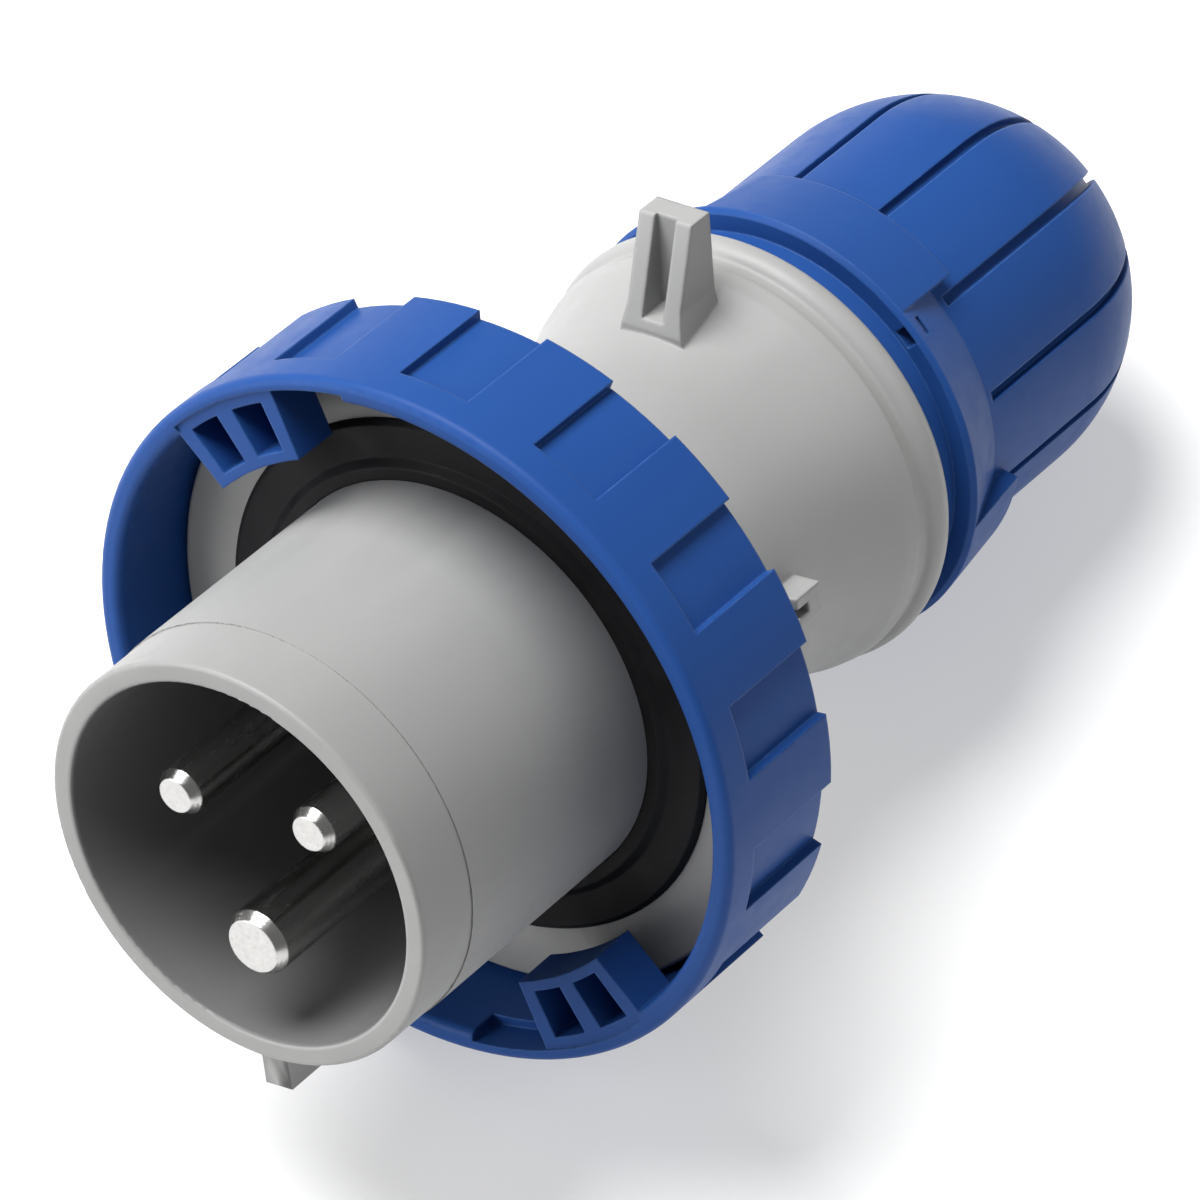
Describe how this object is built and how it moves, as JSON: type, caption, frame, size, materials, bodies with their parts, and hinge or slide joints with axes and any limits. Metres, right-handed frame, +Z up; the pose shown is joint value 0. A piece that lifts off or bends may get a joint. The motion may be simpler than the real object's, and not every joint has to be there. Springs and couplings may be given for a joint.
{
  "type": "industrial pin and sleeve plug",
  "caption": "Industrial pin and sleeve plug with grey sleeve and body, recessed contact pins, blue bayonet locking ring and domed blue cable gland nut, lying on its side.",
  "frame": {"origin": "middle of the bounding box at the level of the table it lies on", "axes": "+Z up; +X from the sleeve towards the cable entry, level; the plug axis runs in the XZ plane and falls by 12.5 degrees towards the cable entry"},
  "size_m": [0.1374, 0.075, 0.0765],
  "materials": {
    "grey_polyamide": "fine satin moulded",
    "blue_polyamide": "satin moulded",
    "black_rubber": "smooth matt",
    "nickelled_brass": "bright nickel plate",
    "dark_polyamide": "matt moulded",
    "plated_steel": "bright zinc plate",
    "cage_polyamide": "matt moulded",
    "washer_polymer": "smooth"
  },
  "bodies": {
    "plug": {"sleeve_body": "grey_polyamide", "face_gasket": "black_rubber", "line_pin": "nickelled_brass", "neutral_pin": "nickelled_brass", "earth_pin": "nickelled_brass", "pin_carrier": "dark_polyamide", "terminal_housing": "dark_polyamide", "line_clamp": "plated_steel", "neutral_clamp": "plated_steel", "earth_clamp": "plated_steel", "wire_plates": "plated_steel", "terminal_screws": "plated_steel", "insert_screws": "plated_steel", "body_seal": "black_rubber", "rear_body": "grey_polyamide", "gland_seal": "black_rubber"},
    "ring": {"locking_ring": "blue_polyamide"},
    "cage": {"clamp_cage": "cage_polyamide", "thrust_washer": "washer_polymer"},
    "nut": {"gland_nut": "blue_polyamide"}
  },
  "joints": [
    {"name": "ring_turn", "type": "hinge", "parent": "plug", "child": "ring", "pos_m": [-0.02693, 0, 0.03765], "axis": [0.9764, 0, -0.2159], "range_deg": [-60, 0]},
    {"name": "cage_slide", "type": "slide", "parent": "plug", "child": "cage", "axis": [0.9764, 0, -0.2159], "range_m": [0, 0.006]},
    {"name": "nut_turn", "type": "hinge", "parent": "cage", "child": "nut", "pos_m": [0.04337, 0, 0.0221], "axis": [0.9764, 0, -0.2159], "range_deg": [0, 721]}
  ],
  "couplings": [
    {"joint": "nut_turn", "follows": "cage_slide", "rad_per_m": 2094.4}
  ]
}
